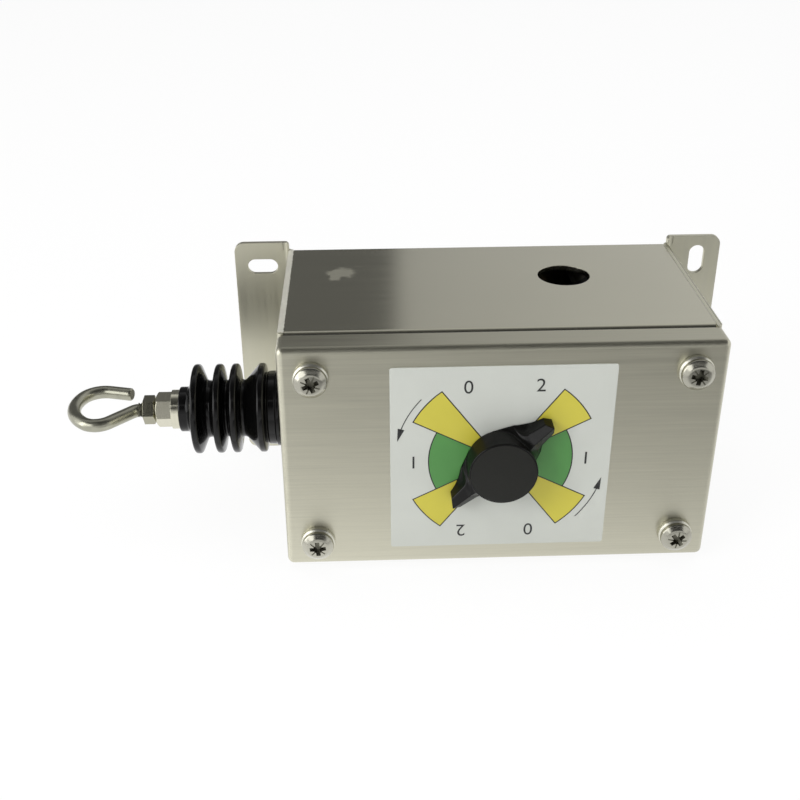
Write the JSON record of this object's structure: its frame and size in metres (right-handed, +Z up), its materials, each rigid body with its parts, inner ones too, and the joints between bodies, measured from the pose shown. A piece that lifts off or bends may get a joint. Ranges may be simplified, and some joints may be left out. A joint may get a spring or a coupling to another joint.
{
  "type": "rope pull switch",
  "caption": "Sheet steel box switch with slotted mounting ears, a dial with a pointer knob, a rubber bellows and an open eye hook on a spring-loaded pull rod.",
  "frame": {"origin": "middle of the rear mounting face, at half height of the box", "axes": "+X to the right seen from the front, +Y out of the mounting face into the wall, +Z up"},
  "size_m": [0.2695, 0.108, 0.0984],
  "materials": {
    "stainless_sheet": "brushed stainless sheet",
    "inner_sheet": "plain rolled sheet",
    "screw_steel": "bright stainless fasteners",
    "plated_steel": "zinc plated",
    "turned_steel": "machined steel",
    "coupling_steel": "turned bright hexagon bar",
    "hook_steel": "polished stainless wire",
    "spring_steel": "spring wire",
    "bush_brass": "turned brass",
    "black_rubber": "moulded black rubber with a slight gloss",
    "knob_plastic": "black moulding, matte face and gloss sides",
    "dial_print": "printed film",
    "nylon": "natural nylon",
    "switch_plastic": "dark moulding"
  },
  "bodies": {
    "enclosure": {"housing_wrap": "stainless_sheet", "left_end_plate": "stainless_sheet", "right_end_plate": "stainless_sheet", "sealing_rim": "inner_sheet", "corner_nut_plates": "inner_sheet", "cover": "stainless_sheet", "cover_gasket": "black_rubber", "cover_screws": "screw_steel", "sealing_washers": "screw_steel", "dial_label": "dial_print", "shaft_bush": "bush_brass", "bush_nut": "plated_steel", "bearing_bracket": "inner_sheet", "bracket_screws": "plated_steel", "shaft_bearing": "bush_brass", "rack_guide": "nylon", "switch_rear": "switch_plastic", "switch_front": "switch_plastic", "switch_screws": "plated_steel", "switch_terminals": "bush_brass", "gland_bush": "bush_brass", "gland_nut": "plated_steel", "rod_guide_bracket": "inner_sheet", "rod_guide_bush": "bush_brass", "rod_guide_screws": "plated_steel", "bellows": "black_rubber", "return_spring": "spring_steel", "earth_stud": "plated_steel", "earth_nuts": "plated_steel"},
    "rope_rod": {"pull_rod": "turned_steel", "rod_arm": "turned_steel", "arm_pin": "plated_steel", "rack": "turned_steel", "rack_screw": "plated_steel", "spring_seat": "turned_steel", "rod_coupling": "coupling_steel", "lock_nut": "coupling_steel", "eye_hook": "hook_steel"},
    "pointer_knob": {"knob": "knob_plastic", "knob_grub_screw": "plated_steel", "knob_shaft": "turned_steel", "shaft_circlip": "plated_steel", "pinion": "turned_steel", "cam_front": "turned_steel", "cam_rear": "turned_steel"},
    "rear_plunger": {"plunger_rear": "nylon"},
    "front_plunger": {"plunger_front": "nylon"}
  },
  "joints": [
    {"name": "rod_slide", "type": "slide", "parent": "enclosure", "child": "rope_rod", "axis": [-1, 0, 0], "range_m": [0, 0.0178], "stiffness_N_per_m": 2500, "springref_m": -0.01, "deforming": ["bellows", "return_spring"]},
    {"name": "knob_turn", "type": "hinge", "parent": "enclosure", "child": "pointer_knob", "pos_m": [0, -0.09, 0], "axis": [0, 1, 0], "range_deg": [0, 85]},
    {"name": "rear_plunger_slide", "type": "slide", "parent": "enclosure", "child": "rear_plunger", "axis": [0, 0, 1], "range_m": [0, 0.002]},
    {"name": "front_plunger_slide", "type": "slide", "parent": "enclosure", "child": "front_plunger", "axis": [0, 0, 1], "range_m": [0, 0.002]}
  ],
  "couplings": [
    {"joint": "knob_turn", "follows": "rod_slide", "rad_per_m": 83.333},
    {"joint": "rear_plunger_slide", "follows": "rod_slide", "ratio": 0.11234},
    {"joint": "front_plunger_slide", "follows": "rod_slide", "ratio": 0.11234}
  ]
}
